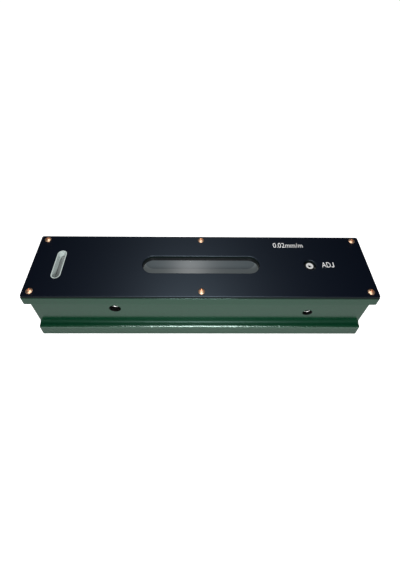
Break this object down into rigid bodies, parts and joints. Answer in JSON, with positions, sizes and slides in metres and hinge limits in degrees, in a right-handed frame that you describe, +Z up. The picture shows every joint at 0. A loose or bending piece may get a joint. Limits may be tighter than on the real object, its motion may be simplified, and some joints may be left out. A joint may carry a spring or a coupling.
{
  "type": "precision machinist level",
  "caption": "Bar-shaped precision level: flanged cast body, black cover plate with a long and a cross vial window, and an adjustable vial tube inside.",
  "frame": {"origin": "middle of the base, on the surface that the level stands on", "axes": "+X along the level towards the adjusting screw, front towards -Y, +Z up"},
  "size_m": [0.201, 0.05, 0.0382],
  "materials": {
    "green_paint": "dark green gloss paint over cast iron, light orange peel",
    "black_plate": "smooth black anodised metal plate",
    "brass_screw": "small turned brass screw heads",
    "black_frame": "black moulded window bezel",
    "clear_pane": "clear window pane",
    "screw_steel": "plain steel screw",
    "bright_steel": "bright turned steel",
    "spring_steel": "spring steel",
    "tube_metal": "satin grey metal tube",
    "vial_glass": "clear ground glass vial",
    "spirit": "pale spirit fill",
    "stopper_glass": "frosted glass stopper",
    "white_bedding": "white setting compound",
    "pale_holder": "pale grey-green moulded plastic"
  },
  "bodies": {
    "base": {"body_casting": "green_paint", "cover_plate": "black_plate", "cover_screws": "brass_screw", "window_frame": "black_frame", "window_pane": "clear_pane", "pivot_screw_front": "screw_steel", "pivot_screw_rear": "screw_steel", "side_screw_front": "screw_steel", "side_screw_rear": "screw_steel", "adjust_bridge": "bright_steel", "bridge_screws": "screw_steel", "adjust_spring": "spring_steel", "cross_vial_holder": "pale_holder", "holder_screws": "screw_steel", "cross_vial": "vial_glass", "cross_vial_liquid": "spirit", "cross_stopper_front": "stopper_glass", "cross_stopper_rear": "stopper_glass", "cross_bore_plug": "pale_holder"},
    "vial_unit": {"vial_tube": "tube_metal", "pivot_lug": "bright_steel", "adjust_tongue": "bright_steel", "main_vial": "vial_glass", "main_vial_liquid": "spirit", "vial_stopper_left": "stopper_glass", "vial_stopper_right": "stopper_glass", "vial_bedding_left": "white_bedding", "vial_bedding_right": "white_bedding"},
    "adjuster": {"adjust_screw": "bright_steel", "screw_clip": "spring_steel"}
  },
  "joints": [
    {"name": "adjust_turn", "type": "hinge", "parent": "base", "child": "adjuster", "pos_m": [0.065, 0, 0.032], "axis": [0, 0, 1], "range_deg": [-360, 360]},
    {"name": "vial_tilt", "type": "hinge", "parent": "base", "child": "vial_unit", "pos_m": [-0.0495, 0, 0.024], "axis": [0, 1, 0], "range_deg": [-0.25, 0.25], "deforming": ["adjust_spring"]}
  ],
  "couplings": [
    {"joint": "adjust_turn", "follows": "vial_tilt", "ratio": 1438.8}
  ]
}
